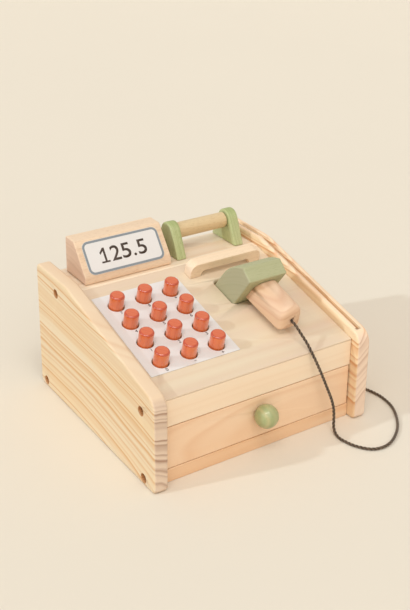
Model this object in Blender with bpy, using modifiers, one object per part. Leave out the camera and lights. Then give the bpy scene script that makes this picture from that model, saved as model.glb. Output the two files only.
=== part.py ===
"""Wooden toy cash register: a case with a sloping keypad deck, a drawer, a roll holder and a corded scanner.

Units are metres. The part stands on Z = 0 and its drawer faces -Y. X = 0 is the middle of its width, and
Y = 0 is midway between the tip of the drawer's knob and the back edge of the side panels.
"""

import math

import bmesh
import bpy
from mathutils import Vector

MM = 0.001

# Clearances
GAP = 0.3 * MM                   # between pieces that are glued or rest on each other
WELD = 0.00001                   # merges a curve's caps with its walls

# Case
WIDTH = 264 * MM                 # over the side panels
DEPTH = 254 * MM                 # of the side panels
SHELF_HEIGHT = 137 * MM          # top of the level rear shelf
FRONT_HEIGHT = 94 * MM           # top of the sloping deck at its front edge
SHELF_DEPTH = 60 * MM
FRONT_SETBACK = 12 * MM          # from the side panels' front edges to the boards between them
BACK_INSET = 10 * MM             # from the side panels' back edges to the boards between them
PANEL_THICKNESS = 15.5 * MM
PANEL_RISE = 10.5 * MM           # side panels above the deck and shelf, measured square to them
SHELF_THICKNESS = 16 * MM
DECK_THICKNESS = 10 * MM
BASE_THICKNESS = 15 * MM
BACK_THICKNESS = 8 * MM
RAIL_DROP = 31 * MM              # from the deck's front edge down to the drawer opening
RAIL_DEPTH = 20 * MM
RAIL_TONGUE = 8 * MM             # depth of the rail's tongue, which the deck's thin lip covers
DECK_LIP = 2 * MM

# Side panel corners and edges
PANEL_NOSE_RADIUS = 16 * MM
PANEL_BEND_RADIUS = 60 * MM
PANEL_TOE_RADIUS = 5.5 * MM
PANEL_HEEL_RADIUS = 8 * MM
PANEL_CREST_RADIUS = 6 * MM
PANEL_EDGE = 2.4 * MM
BOARD_EDGE = 0.6 * MM

# Card slot in the right panel's top edge
SLOT_WIDTH = 4.5 * MM
SLOT_DEPTH = 10 * MM
SLOT_FROM_OUTSIDE = 5.75 * MM
SLOT_FRONT_MARGIN = 10 * MM
SLOT_BACK_MARGIN = 19 * MM

# Side screws
SCREW_HEAD_RADIUS = 4 * MM
SCREW_HEAD_HEIGHT = 2.5 * MM
SCREW_SHANK_RADIUS = 2 * MM
SCREW_BITE = 12.5 * MM           # length of shank in the inner board
SCREW_CLEARANCE = 0.4 * MM
COUNTERBORE_RADIUS = 5.3 * MM
COUNTERBORE_DEPTH = 6 * MM
SHELF_SCREW_INSET = 22.5 * MM    # from the deck's end to the shelf's screw
BASE_SCREW_FRONT_INSET = 9.5 * MM
BASE_SCREW_BACK_INSET = 4.5 * MM
RAIL_SCREW_INSET = 13.5 * MM
RAIL_SCREW_RISE = 18 * MM        # above the rail's lower face

# Drawer
DRAWER_SIDE_GAP = 1.5 * MM
DRAWER_TOP_GAP = 1 * MM
DRAWER_BOTTOM_GAP = 0.8 * MM
DRAWER_REAR_GAP = 18 * MM
DRAWER_FRONT_THICKNESS = 12 * MM
DRAWER_WALL = 8 * MM
DRAWER_FLOOR = 3 * MM
DRAWER_WALL_DROP = 6 * MM        # walls below the drawer front's top
DRAWER_BOX_INSET = 2 * MM        # box behind the drawer front's ends

# Knob on the drawer
KNOB_RADIUS = 12.5 * MM
KNOB_REACH = 23 * MM             # from the drawer front to the knob's tip
KNOB_ABOVE_BASE = 28.5 * MM
KNOB_BORE_DEPTH = 12 * MM
KNOB_SCREW_HEAD_RADIUS = 4.5 * MM
KNOB_SCREW_HEAD_HEIGHT = 2.4 * MM

# Keypad
BUTTON_COLUMNS = 3
BUTTON_ROWS = 4
BUTTON_PITCH_X = 33 * MM
BUTTON_PITCH_V = 31 * MM
BUTTON_FIRST_X = 26 * MM         # from the left panel's inner face
BUTTON_FIRST_V = 37 * MM         # down the slope from the shelf
BUTTON_RADIUS = 7.9 * MM
BUTTON_HEIGHT = 16 * MM          # above the deck
BUTTON_EDGE = 2.5 * MM
BUTTON_CLEARANCE = 1.4 * MM      # between the button and its hole
BUTTON_FLANGE = 2.2 * MM         # flange beyond the hole's edge
BUTTON_FLANGE_THICKNESS = 2.5 * MM
BUTTON_STEM_RADIUS = 3 * MM
STEM_CLEARANCE = 0.5 * MM
STEM_BELOW_TRAY = 1 * MM
SPRING_LENGTH = 9 * MM
SPRING_WIRE = 0.8 * MM
KEYPAD_LABEL_SIDE = 19.25 * MM   # from the outer button centres to the label's edge
KEYPAD_LABEL_BACK = 19.5 * MM
KEYPAD_LABEL_FRONT = 15.5 * MM
LABEL_THICKNESS = 0.35 * MM
LABEL_GAP = 0.15 * MM
TRAY_FLOOR = 6 * MM
TRAY_WALL = 6 * MM
TRAY_MARGIN = 4 * MM             # between the outer flanges and the tray's walls

# Display
DISPLAY_WIDTH = 107.5 * MM
DISPLAY_FIRST_X = 12.5 * MM      # from the left panel's inner face
DISPLAY_SETBACK = 7 * MM         # from the shelf's front to the display
DISPLAY_TOP = 42 * MM            # above the shelf
DISPLAY_LIP = 8.5 * MM           # height of the upright strip under the sloping face
DISPLAY_FACE_RUN = 26 * MM
DISPLAY_TOP_RUN = 20 * MM
DISPLAY_EDGE = 1.6 * MM
DISPLAY_GROOVE_HEIGHT = 2 * MM   # groove under each end, which stops short of the front and back
DISPLAY_GROOVE_DEPTH = 3 * MM
DISPLAY_GROOVE_STOP = 3 * MM
DISPLAY_LABEL_WIDTH = 93.5 * MM
DISPLAY_LABEL_HEIGHT = 38 * MM
DISPLAY_LABEL_RADIUS = 7.5 * MM
DISPLAY_LABEL_LIFT = 20.4 * MM   # label's middle, up the sloping face

# Roll holder
BRACKET_THICKNESS = 12 * MM
BRACKET_SPACING = 78 * MM        # between the brackets' middles
BRACKET_FROM_RIGHT = 18.8 * MM   # right bracket's middle from the right panel's inner face
BRACKET_SETBACK = 35 * MM        # spindle's axis behind the shelf's front
BRACKET_FOOT = 49 * MM
BRACKET_TOP_RADIUS = 12.5 * MM
BRACKET_EDGE = 1.6 * MM
SPINDLE_RISE = 26 * MM         # spindle's axis above the shelf
SPINDLE_RADIUS = 9.1 * MM
SPINDLE_TENON_RADIUS = 4 * MM
SPINDLE_TENON_LENGTH = 7 * MM
SPINDLE_CLEARANCE = 0.3 * MM
SPINDLE_END_GAP = 1 * MM

# Paper guide
GUIDE_WIDTH = 92.5 * MM
GUIDE_FROM_RIGHT = 16.5 * MM
GUIDE_FROM_SHELF = 13 * MM       # down the slope
GUIDE_DEPTH = 13 * MM
GUIDE_HEIGHT = 17.5 * MM
GUIDE_BAR = 10 * MM
GUIDE_LEG = 14 * MM
GUIDE_CORNER = 9 * MM
GUIDE_INNER_CORNER = 5.5 * MM

# Scanner, in the deck's own frame: X across, V up the slope from the shelf's seam, H square to the deck
SCANNER_FROM_RIGHT = 37 * MM     # from the right panel's inner face to the hole
SCANNER_HOLE_WIDTH = 51.5 * MM
SCANNER_HOLE_V = -37.4 * MM      # the hole's upper end
SCANNER_HOLE_LENGTH = 44.4 * MM
SCANNER_HOLE_RADIUS = 5 * MM
SCANNER_SIDE_CLEARANCE = 1.45 * MM
SCANNER_END_CLEARANCE = 0.8 * MM
HEAD_LEAN = 0.443                # forward lean of the head's front and back, per unit of height
HEAD_FRONT_HEIGHT = 42.2 * MM    # of the head's front top edge above the deck
HEAD_CROWN_RUN = 15.7 * MM       # from the front top edge back to the crown
HEAD_CROWN_RISE = 8.6 * MM
HEAD_SHOULDER_RUN = 22.9 * MM    # from the crown to the corner that the back's curve rounds
HEAD_SHOULDER_DROP = 10.7 * MM
HEAD_BACK_RADIUS = 60 * MM
HEAD_LENGTH = 38 * MM            # at the deck, front to back
HEAD_EDGE = 1.8 * MM
REST_THICKNESS = 6 * MM
REST_MARGIN = 9 * MM

HANDLE_WIDTH = 31 * MM           # at the head
HANDLE_END_WIDTH = 28 * MM
HANDLE_OFFSET = 2 * MM           # to the right of the head's middle
HANDLE_LOW = 6 * MM              # underside above the deck
HANDLE_HEIGHT = 29 * MM
HANDLE_END_V = -146 * MM
HANDLE_TOP_RADIUS = 12 * MM
HANDLE_UNDER_RADIUS = 5 * MM
HANDLE_END_RADIUS = 8 * MM
CORD_HOLE_RISE = 14 * MM         # cord hole's axis above the handle's underside

# Cord
CORD_RADIUS = 1.5 * MM
CORD_HOLE_RADIUS = 2.4 * MM
CORD_HOLE_DEPTH = 9 * MM
CORD_SEATED = 7 * MM             # length of cord inside each hole
CORD_SPACING = 7 * MM
CORD_ANCHOR_FROM_FRONT = 84 * MM
CORD_ANCHOR_HEIGHT = 13 * MM

# Worked out from the sizes above
PANEL_FRONT_Y = -(DEPTH - (KNOB_REACH - FRONT_SETBACK)) / 2
FACE_Y = PANEL_FRONT_Y + FRONT_SETBACK
BACK_Y = PANEL_FRONT_Y + DEPTH - BACK_INSET
SEAM_Y = BACK_Y - SHELF_DEPTH
SLOPE = math.atan2(SHELF_HEIGHT - FRONT_HEIGHT, SEAM_Y - FACE_Y)
INNER_X = WIDTH / 2 - PANEL_THICKNESS
BOARD_LENGTH = 2 * (INNER_X - GAP)
RAIL_BOTTOM = FRONT_HEIGHT - RAIL_DROP
ACROSS = (math.pi / 2, 0, math.pi / 2)   # turns an outline drawn in XY into the YZ plane, thick along X
BUTTON_HOLE_RADIUS = BUTTON_RADIUS + BUTTON_CLEARANCE
FLANGE_RADIUS = BUTTON_HOLE_RADIUS + BUTTON_FLANGE
FLANGE_TOP = -DECK_THICKNESS - GAP
FLANGE_BOTTOM = FLANGE_TOP - BUTTON_FLANGE_THICKNESS
TRAY_TOP = FLANGE_BOTTOM - SPRING_LENGTH
TRAY_BOTTOM = TRAY_TOP - TRAY_FLOOR
HEAD_BOTTOM = -DECK_THICKNESS
SCANNER_X = INNER_X - SCANNER_FROM_RIGHT - SCANNER_HOLE_WIDTH / 2
HEAD_FRONT_V = SCANNER_HOLE_V - SCANNER_HOLE_LENGTH + SCANNER_END_CLEARANCE

# The cord's route past the handle, chosen by hand: over the deck's edge, down the drawer and
# round to the right. Each point is given from the right panel's outer face, from the panels'
# front edges, and above the table.
CORD_ROUTE = (
    (-0.0755, 0.0322, 0.1168),
    (-0.0736, 0.0250, 0.1098),
    (-0.0720, 0.0165, 0.1022),
    (-0.0704, 0.0085, 0.0926),
    (-0.0665, 0.0045, 0.0811),
    (-0.0608, 0.0025, 0.0670),
    (-0.0550, 0.0012, 0.0524),
    (-0.0487, 0.0005, 0.0372),
    (-0.0454, -0.0002, 0.0250),
    (-0.0452, -0.0015, 0.0140),
    (-0.0478, -0.0053, 0.0048),
    (-0.0515, -0.0155, 0.0017),
    (-0.0513, -0.0275, 0.0017),
    (-0.0470, -0.0409, 0.0017),
    (-0.0365, -0.0535, 0.0017),
    (-0.0220, -0.0568, 0.0017),
    (-0.0065, -0.0520, 0.0017),
    (0.0120, -0.0387, 0.0017),
    (0.0265, -0.0215, 0.0017),
    (0.0364, -0.0030, 0.0017),
    (0.0398, 0.0155, 0.0017),
    (0.0390, 0.0274, 0.0017),
    (0.0368, 0.0366, 0.0017),
    (0.0320, 0.0535, 0.0018),
    (0.0255, 0.0695, 0.0040),
    (0.0170, 0.0795, 0.0088),
    (0.0080, 0.0832, 0.0122),
)
CORD_SPLIT = 3                   # the upper cord ends at this point of the route


def new_collection(name):
    collection = bpy.data.collections.new(name)
    bpy.context.scene.collection.children.link(collection)
    return collection


def material(name, colour, roughness, metallic=0.0):
    made = bpy.data.materials.new(name)
    made.use_nodes = True
    shader = made.node_tree.nodes["Principled BSDF"]
    shader.inputs["Base Color"].default_value = (*colour, 1.0)
    shader.inputs["Roughness"].default_value = roughness
    shader.inputs["Metallic"].default_value = metallic
    return made


def add_object(name, mesh, paint, collection):
    obj = bpy.data.objects.new(name, mesh)
    collection.objects.link(obj)
    if paint:
        mesh.materials.append(paint)
    return obj


def place(obj, location, rotation=(0, 0, 0), parent=None):
    obj.location = location
    obj.rotation_euler = rotation
    obj.parent = parent
    return obj


def frame_empty(name, location, rotation=(0, 0, 0), parent=None):
    empty = bpy.data.objects.new(name, None)
    PARTS.objects.link(empty)
    return place(empty, location, rotation, parent)


def ease(obj, width, segments=2):
    """Round the sharp edges."""
    bevel = obj.modifiers.new("eased_edges", "BEVEL")
    bevel.width = width
    bevel.segments = segments
    bevel.limit_method = "ANGLE"
    bevel.angle_limit = math.radians(40)


def cut(obj, *cutters):
    for cutter in cutters:
        boolean = obj.modifiers.new("cut_" + cutter.name, "BOOLEAN")
        boolean.operation = "DIFFERENCE"
        boolean.object = cutter


def as_cutter(obj):
    obj.hide_render = True
    obj.display_type = "WIRE"
    return obj


def block(name, low, high, paint, edge=BOARD_EDGE, collection=None):
    """A board between two opposite corners."""
    low, high = Vector(low), Vector(high)
    shape = bmesh.new()
    bmesh.ops.create_cube(shape, size=1)
    bmesh.ops.scale(shape, vec=high - low, verts=shape.verts)
    mesh = bpy.data.meshes.new(name)
    shape.to_mesh(mesh)
    shape.free()
    obj = add_object(name, mesh, paint, collection or PARTS)
    obj.location = (low + high) / 2
    if edge:
        ease(obj, edge)
    return obj


def rounded(corners, arc_step=math.radians(15)):
    """A closed outline through corners of (u, v, radius), each turned into an arc of its radius."""
    outline = []
    for index, (u, v, radius) in enumerate(corners):
        corner = Vector((u, v))
        if not radius:
            outline.append(corner)
            continue
        back = Vector(corners[index - 1][:2]) - corner
        ahead = Vector(corners[(index + 1) % len(corners)][:2]) - corner
        half = back.angle(ahead) / 2
        radius = min(radius, 0.98 * math.tan(half) * min(back.length, ahead.length))
        back.normalize()
        ahead.normalize()
        centre = corner + (back + ahead).normalized() * radius / math.sin(half)
        start = corner + back * radius / math.tan(half) - centre
        sweep = math.copysign(math.pi - 2 * half, ahead.cross(back))
        steps = max(2, math.ceil(abs(sweep) / arc_step))
        for step in range(steps + 1):
            turn = sweep * step / steps
            outline.append(centre + Vector((start.x * math.cos(turn) - start.y * math.sin(turn),
                                            start.x * math.sin(turn) + start.y * math.cos(turn))))
    return outline


def circle(u, v, radius, steps):
    turns = [2 * math.pi * step / steps for step in range(steps)]
    return [Vector((u + radius * math.cos(turn), v + radius * math.sin(turn))) for turn in turns]


def box_corners(width, height, radius):
    """A rectangle's corners about its middle, anticlockwise."""
    return [(-width / 2, -height / 2, radius), (width / 2, -height / 2, radius),
            (width / 2, height / 2, radius), (-width / 2, height / 2, radius)]


def mesh_of(curve):
    """The closed mesh of a curve object's data, with its caps welded to its walls."""
    source = bpy.data.objects.new(curve.name, curve)
    PARTS.objects.link(source)
    evaluated = source.evaluated_get(bpy.context.evaluated_depsgraph_get())
    mesh = bpy.data.meshes.new_from_object(evaluated)
    bpy.data.objects.remove(source)
    shape = bmesh.new()
    shape.from_mesh(mesh)
    bmesh.ops.remove_doubles(shape, verts=shape.verts, dist=WELD)
    bmesh.ops.dissolve_limit(shape, angle_limit=math.radians(0.5), verts=shape.verts, edges=shape.edges)
    bmesh.ops.recalc_face_normals(shape, faces=shape.faces)
    shape.to_mesh(mesh)
    shape.free()
    return mesh


def plate(name, outlines, thickness, paint, collection=None):
    """Flat outlines in XY, the first round the others, which are holes, centred in thickness."""
    curve = bpy.data.curves.new(name, "CURVE")
    curve.dimensions = "2D"
    curve.fill_mode = "BOTH"
    curve.extrude = thickness / 2
    for outline in outlines:
        spline = curve.splines.new("POLY")
        spline.points.add(len(outline) - 1)
        spline.use_cyclic_u = True
        for point, place_2d in zip(spline.points, outline):
            point.co = (place_2d[0], place_2d[1], 0, 1)
    return add_object(name, mesh_of(curve), paint, collection or PARTS)


def turned(name, profile, steps, paint, collection=None, ring=False):
    """A profile of (radius, height) down its outer side, spun about Z; a ring's profile is a closed loop."""
    count = len(profile)
    edges = [(index, (index + 1) % count) for index in range(count if ring else count - 1)]
    mesh = bpy.data.meshes.new(name)
    mesh.from_pydata([(radius, 0, height) for radius, height in profile], edges, [])
    obj = add_object(name, mesh, paint, collection or PARTS)
    screw = obj.modifiers.new("turn", "SCREW")
    screw.axis = "Z"
    screw.steps = screw.render_steps = steps
    screw.use_merge_vertices = True
    screw.merge_threshold = WELD
    screw.use_smooth_shade = True
    return obj


def arc(radius_at, height_at, radius, start, end, steps):
    """Profile points on a circle; angles in degrees from the radius axis."""
    turns = [math.radians(start + (end - start) * step / steps) for step in range(steps + 1)]
    return [(radius_at + radius * math.cos(turn), height_at + radius * math.sin(turn)) for turn in turns]


def deck_height(y):
    """Height of the deck's sloping plane at y."""
    return SHELF_HEIGHT - (SEAM_Y - y) * math.tan(SLOPE)


# ---------------------------------------------------------------- case

def panel_outline():
    front, back = PANEL_FRONT_Y, PANEL_FRONT_Y + DEPTH
    top = SHELF_HEIGHT + PANEL_RISE
    slope_rise = PANEL_RISE / math.cos(SLOPE)
    bend_y = SEAM_Y - (slope_rise - PANEL_RISE) / math.tan(SLOPE)
    return rounded([
        (front, 0, PANEL_TOE_RADIUS),
        (back, 0, PANEL_HEEL_RADIUS),
        (back, top, PANEL_CREST_RADIUS),
        (bend_y, top, PANEL_BEND_RADIUS),
        (front, deck_height(front) + slope_rise, PANEL_NOSE_RADIUS),
    ])


def slot_cutter():
    """A strip that follows the panel's top edge; its eased edges round the slot's ends and floor."""
    top = SHELF_HEIGHT + PANEL_RISE
    floor_drop = (PANEL_RISE - SLOT_DEPTH) / math.cos(SLOPE)
    front = PANEL_FRONT_Y + SLOT_FRONT_MARGIN
    back = PANEL_FRONT_Y + DEPTH - SLOT_BACK_MARGIN
    bend_y = SEAM_Y - (floor_drop - (PANEL_RISE - SLOT_DEPTH)) / math.tan(SLOPE)
    outline = rounded([
        (front, deck_height(front) + floor_drop, 0),
        (bend_y, top - SLOT_DEPTH, PANEL_BEND_RADIUS - SLOT_DEPTH),
        (back, top - SLOT_DEPTH, 0),
        (back, top + SLOT_DEPTH, 0),
        (front, top + SLOT_DEPTH, 0),
    ])
    cutter = plate("card_slot_cutter", [outline], SLOT_WIDTH, None, CUTTERS)
    ease(cutter, 0.46 * SLOT_WIDTH, 3)
    return as_cutter(place(cutter, (WIDTH / 2 - SLOT_FROM_OUTSIDE - SLOT_WIDTH / 2, 0, 0), ACROSS))


def screw_places():
    """Where the side screws go, as (y, z, the board that each one holds)."""
    base_middle = BASE_THICKNESS / 2
    return (
        (SEAM_Y + SHELF_SCREW_INSET, SHELF_HEIGHT - SHELF_THICKNESS / 2, "rear_shelf"),
        (BACK_Y - BASE_SCREW_BACK_INSET, base_middle, "base_board"),
        (FACE_Y + RAIL_SCREW_INSET, RAIL_BOTTOM + RAIL_SCREW_RISE, "front_rail"),
        (FACE_Y + BASE_SCREW_FRONT_INSET, base_middle, "base_board"),
    )


def side_screw(name, x, y, z, side, boards):
    """A countersunk-deep screw, its head in a counterbore; side is -1 for the left panel."""
    turn = (0, side * math.pi / 2, 0)
    head_low = -COUNTERBORE_DEPTH + GAP
    tip = -PANEL_THICKNESS - SCREW_BITE
    screw = turned(name, [
        (0, head_low + SCREW_HEAD_HEIGHT), (SCREW_HEAD_RADIUS, head_low + SCREW_HEAD_HEIGHT),
        (SCREW_HEAD_RADIUS, head_low), (SCREW_SHANK_RADIUS, head_low),
        (SCREW_SHANK_RADIUS, tip + SCREW_SHANK_RADIUS), (0, tip),
    ], 10, STEEL)
    place(screw, (x, y, z), turn)
    bore_radius = SCREW_SHANK_RADIUS + SCREW_CLEARANCE
    bore = turned(name + "_hole", [
        (0, COUNTERBORE_DEPTH), (COUNTERBORE_RADIUS, COUNTERBORE_DEPTH),
        (COUNTERBORE_RADIUS, -COUNTERBORE_DEPTH), (bore_radius, -COUNTERBORE_DEPTH),
        (bore_radius, tip - SCREW_CLEARANCE), (0, tip - SCREW_CLEARANCE),
    ], 20, None, CUTTERS)
    as_cutter(place(bore, (x, y, z), turn))
    for board in boards:
        cut(board, bore)


def anchor_hole():
    """The blind hole in the right panel that holds the cord's far end."""
    hole = turned("cord_anchor_cutter", [
        (0, CORD_HOLE_DEPTH), (CORD_HOLE_RADIUS, CORD_HOLE_DEPTH),
        (CORD_HOLE_RADIUS, -CORD_HOLE_DEPTH), (0, -CORD_HOLE_DEPTH),
    ], 12, None, CUTTERS)
    y = PANEL_FRONT_Y + CORD_ANCHOR_FROM_FRONT
    return as_cutter(place(hole, (WIDTH / 2, y, CORD_ANCHOR_HEIGHT), (0, math.pi / 2, 0)))


def front_rail():
    """The board over the drawer; its tongue rises in front under the deck's lip."""
    back = FACE_Y + RAIL_DEPTH
    tongue = FACE_Y + RAIL_TONGUE
    under_deck = DECK_THICKNESS / math.cos(SLOPE) + GAP
    under_lip = DECK_LIP / math.cos(SLOPE) + GAP
    outline = [
        (FACE_Y, RAIL_BOTTOM), (back, RAIL_BOTTOM), (back, deck_height(back) - under_deck),
        (tongue, deck_height(tongue) - under_deck), (tongue, deck_height(tongue) - under_lip),
        (FACE_Y, deck_height(FACE_Y) - under_lip),
    ]
    rail = plate("front_rail", [outline], BOARD_LENGTH, PALE_PINE)
    ease(place(rail, (0, 0, 0), ACROSS), BOARD_EDGE)
    return rail


def sloped_deck():
    """The keypad's board, rebated at the front to a thin lip."""
    lip_back = FACE_Y + RAIL_TONGUE + GAP
    end = SEAM_Y - GAP / 2
    full = DECK_THICKNESS / math.cos(SLOPE)
    thin = DECK_LIP / math.cos(SLOPE)
    outline = [
        (FACE_Y, deck_height(FACE_Y) - thin), (lip_back, deck_height(lip_back) - thin),
        (lip_back, deck_height(lip_back) - full), (end, deck_height(end) - full),
        (end, deck_height(end)), (FACE_Y, deck_height(FACE_Y)),
    ]
    deck = plate("sloped_deck", [outline], BOARD_LENGTH, PALE_PINE)
    ease(place(deck, (0, 0, 0), ACROSS), BOARD_EDGE)
    for name, x, v in button_places():
        hole = turned(name + "_hole", [
            (0, DECK_THICKNESS), (BUTTON_HOLE_RADIUS, DECK_THICKNESS),
            (BUTTON_HOLE_RADIUS, -2 * DECK_THICKNESS), (0, -2 * DECK_THICKNESS),
        ], 20, None, CUTTERS)
        cut(deck, as_cutter(place(hole, (x, v, 0), parent=DECK_FRAME)))
    corners = box_corners(SCANNER_HOLE_WIDTH, SCANNER_HOLE_LENGTH, SCANNER_HOLE_RADIUS)
    outline = rounded(corners, math.radians(23))
    hole = plate("scanner_hole_cutter", [outline], 4 * DECK_THICKNESS, None, CUTTERS)
    middle = (SCANNER_X, SCANNER_HOLE_V - SCANNER_HOLE_LENGTH / 2, 0)
    cut(deck, as_cutter(place(hole, middle, parent=DECK_FRAME)))


def case():
    left = plate("left_side_panel", [panel_outline()], PANEL_THICKNESS, YELLOW_PINE)
    right = plate("right_side_panel", [panel_outline()], PANEL_THICKNESS, YELLOW_PINE)
    for panel, side in ((left, -1), (right, 1)):
        place(panel, (side * (WIDTH - PANEL_THICKNESS) / 2, 0, 0), ACROSS)
        ease(panel, PANEL_EDGE)
    cut(right, slot_cutter(), anchor_hole())
    end = BOARD_LENGTH / 2
    shelf_low = SHELF_HEIGHT - SHELF_THICKNESS
    boards = {
        "rear_shelf": block("rear_shelf", (-end, SEAM_Y + GAP / 2, shelf_low), (end, BACK_Y, SHELF_HEIGHT),
                            PALE_PINE),
        "base_board": block("base_board", (-end, FACE_Y, 0), (end, BACK_Y, BASE_THICKNESS), PALE_PINE),
        "front_rail": front_rail(),
    }
    block("back_board", (-end, BACK_Y - BACK_THICKNESS, BASE_THICKNESS + GAP),
          (end, BACK_Y, shelf_low - GAP), PALE_PINE)
    sloped_deck()
    for side, side_name, panel in ((-1, "left", left), (1, "right", right)):
        for number, (y, z, board) in enumerate(screw_places(), 1):
            name = f"side_screw_{side_name}_{number}"
            side_screw(name, side * WIDTH / 2, y, z, side, (panel, boards[board]))


# ---------------------------------------------------------------- drawer

def drawer():
    front_back = FACE_Y + DRAWER_FRONT_THICKNESS
    back = BACK_Y - BACK_THICKNESS - DRAWER_REAR_GAP
    end = INNER_X - DRAWER_SIDE_GAP
    box_end = end - DRAWER_BOX_INSET
    low = BASE_THICKNESS + DRAWER_BOTTOM_GAP
    top = RAIL_BOTTOM - DRAWER_TOP_GAP
    wall_low = low + DRAWER_FLOOR + GAP
    wall_top = top - DRAWER_WALL_DROP
    box_front = front_back + GAP
    front = block("drawer_front", (-end, FACE_Y, low), (end, front_back, top), ORANGE_PINE)
    for name, side in (("drawer_left", -1), ("drawer_right", 1)):
        outer, inner = side * box_end, side * (box_end - DRAWER_WALL)
        block(name, (min(outer, inner), box_front, wall_low), (max(outer, inner), back, wall_top), PALE_PINE)
    inner = box_end - DRAWER_WALL - GAP
    block("drawer_back", (-inner, back - DRAWER_WALL, wall_low), (inner, back, wall_top), PALE_PINE)
    block("drawer_bottom", (-box_end, box_front, low), (box_end, back, low + DRAWER_FLOOR), PLYWOOD, edge=0)
    knob(front)


def knob(front):
    """A ball with a flat back, and the screw that holds it from inside the drawer."""
    centre_y = FACE_Y - KNOB_REACH + KNOB_RADIUS
    height = BASE_THICKNESS + KNOB_ABOVE_BASE
    flat = centre_y - FACE_Y + GAP
    flat_angle = math.degrees(math.asin(flat / KNOB_RADIUS))
    bore_radius = SCREW_SHANK_RADIUS + SCREW_CLEARANCE
    bore_end = flat + KNOB_BORE_DEPTH
    ball = turned("drawer_knob", arc(0, 0, KNOB_RADIUS, 90, flat_angle, 9) + [
        (bore_radius, flat), (bore_radius, bore_end), (0, bore_end),
    ], 24, GREEN_STAIN)
    place(ball, (0, centre_y, height), (math.pi / 2, 0, 0))
    seat = DRAWER_FRONT_THICKNESS + GAP
    tip = -KNOB_BORE_DEPTH + SCREW_CLEARANCE
    screw = turned("knob_screw", [
        (0, seat + KNOB_SCREW_HEAD_HEIGHT), (KNOB_SCREW_HEAD_RADIUS * 0.7, seat + KNOB_SCREW_HEAD_HEIGHT),
        (KNOB_SCREW_HEAD_RADIUS, seat + KNOB_SCREW_HEAD_HEIGHT / 2), (KNOB_SCREW_HEAD_RADIUS, seat),
        (SCREW_SHANK_RADIUS, seat), (SCREW_SHANK_RADIUS, tip + SCREW_SHANK_RADIUS), (0, tip),
    ], 12, STEEL)
    place(screw, (0, FACE_Y, height), (-math.pi / 2, 0, 0))
    hole = turned("knob_screw_hole", [
        (0, 2 * DRAWER_FRONT_THICKNESS), (bore_radius, 2 * DRAWER_FRONT_THICKNESS),
        (bore_radius, -DRAWER_FRONT_THICKNESS), (0, -DRAWER_FRONT_THICKNESS),
    ], 12, None, CUTTERS)
    cut(front, as_cutter(place(hole, (0, FACE_Y, height), (-math.pi / 2, 0, 0))))


# ---------------------------------------------------------------- keypad

def button_places():
    """Each button's number and its place in the deck's frame, from the top left."""
    places = []
    for row in range(BUTTON_ROWS):
        for column in range(BUTTON_COLUMNS):
            x = -INNER_X + BUTTON_FIRST_X + column * BUTTON_PITCH_X
            v = -BUTTON_FIRST_V - row * BUTTON_PITCH_V
            places.append((f"button_{row * BUTTON_COLUMNS + column + 1:02d}", x, v))
    return places


def button(name, x, v):
    """A peg through the deck, with a flange under it, a stem in the tray and a spring round the stem."""
    stem_end = TRAY_BOTTOM - STEM_BELOW_TRAY
    top_edge = arc(BUTTON_RADIUS - BUTTON_EDGE, BUTTON_HEIGHT - BUTTON_EDGE, BUTTON_EDGE, 90, 0, 2)
    profile = [
        (0, BUTTON_HEIGHT), *top_edge, (BUTTON_RADIUS, FLANGE_TOP), (FLANGE_RADIUS, FLANGE_TOP),
        (FLANGE_RADIUS, FLANGE_BOTTOM), (BUTTON_STEM_RADIUS, FLANGE_BOTTOM),
        (BUTTON_STEM_RADIUS, stem_end), (0, stem_end),
    ]
    peg = turned(name, profile, 16, RED_STAIN)
    place(peg, (x, v, 0), parent=DECK_FRAME)
    inside = BUTTON_STEM_RADIUS + STEM_CLEARANCE
    outside = inside + SPRING_WIRE
    high, low = FLANGE_BOTTOM - GAP, TRAY_TOP + GAP
    spring = turned(name.replace("button", "button_spring"),
                    [(outside, high), (outside, low), (inside, low), (inside, high)], 8, STEEL, ring=True)
    place(spring, (x, v, 0), parent=DECK_FRAME)


def keypad_bounds(side, back, front):
    """The rectangle round the button centres, in the deck's frame, as (x0, x1, v0, v1)."""
    places = button_places()
    return places[0][1] - side, places[-1][1] + side, places[-1][2] - front, places[0][2] + back


def keypad_label():
    x0, x1, v0, v1 = keypad_bounds(KEYPAD_LABEL_SIDE, KEYPAD_LABEL_BACK, KEYPAD_LABEL_FRONT)
    holes = [circle(x, v, BUTTON_HOLE_RADIUS, 20) for _, x, v in button_places()]
    outline = [(x0, v0), (x1, v0), (x1, v1), (x0, v1)]
    label = plate("keypad_label", [outline, *holes], LABEL_THICKNESS, LABEL_PAPER)
    place(label, (0, 0, LABEL_GAP + LABEL_THICKNESS / 2), parent=DECK_FRAME)


def button_tray():
    """A shallow tray under the deck; its floor guides the stems and carries the springs."""
    reach = FLANGE_RADIUS + TRAY_MARGIN
    x0, x1, v0, v1 = keypad_bounds(reach, reach, reach)
    outer = block("button_tray", (x0 - TRAY_WALL, v0 - TRAY_WALL, TRAY_BOTTOM),
                  (x1 + TRAY_WALL, v1 + TRAY_WALL, FLANGE_TOP), PLYWOOD, edge=0)
    outer.parent = DECK_FRAME
    inner = block("button_tray_cutter", (x0, v0, TRAY_TOP), (x1, v1, 0), None, edge=0, collection=CUTTERS)
    inner.parent = DECK_FRAME
    cut(outer, as_cutter(inner))
    for name, x, v in button_places():
        hole = turned(name + "_stem_hole", [
            (0, TRAY_TOP + TRAY_FLOOR), (BUTTON_STEM_RADIUS + STEM_CLEARANCE, TRAY_TOP + TRAY_FLOOR),
            (BUTTON_STEM_RADIUS + STEM_CLEARANCE, TRAY_BOTTOM - TRAY_FLOOR), (0, TRAY_BOTTOM - TRAY_FLOOR),
        ], 8, None, CUTTERS)
        cut(outer, as_cutter(place(hole, (x, v, 0), parent=DECK_FRAME)))


def keypad():
    button_tray()
    keypad_label()
    for name, x, v in button_places():
        button(name, x, v)


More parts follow.
